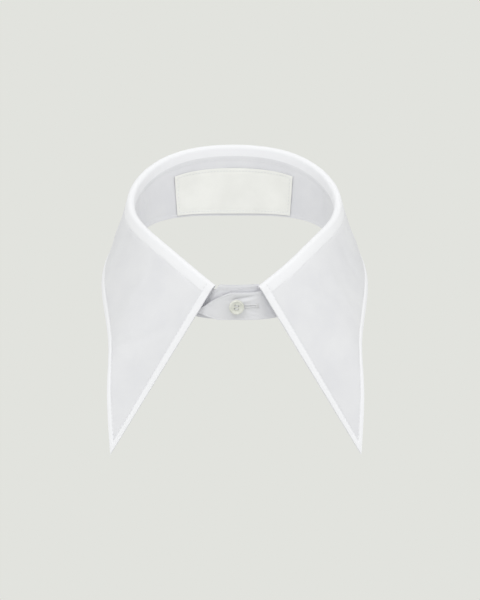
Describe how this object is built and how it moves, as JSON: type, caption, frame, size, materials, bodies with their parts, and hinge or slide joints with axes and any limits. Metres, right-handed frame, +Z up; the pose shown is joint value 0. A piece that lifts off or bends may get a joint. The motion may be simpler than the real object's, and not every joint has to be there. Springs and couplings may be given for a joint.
{
  "type": "detachable shirt collar",
  "caption": "Detachable shirt collar with long dagger points on a stand buttoned at the front, in its worn, hollow shape.",
  "frame": {"origin": "on the axis of the wearer's neck, level with the stand's lower edge at the centre back", "axes": "+Z up, the collar's front faces -Y, the wearer's left is +X"},
  "size_m": [0.1678, 0.16, 0.1701],
  "materials": {
    "white_cotton": "white cotton poplin, matt, fine plain weave",
    "label_cotton": "off-white cotton tape, matt",
    "pearl_resin": "pearly resin, satin"
  },
  "bodies": {
    "root": {"upper_collar": "white_cotton", "under_collar": "white_cotton", "stand_inner": "white_cotton", "stand_outer": "white_cotton", "label": "label_cotton", "button": "pearl_resin"}
  },
  "joints": []
}
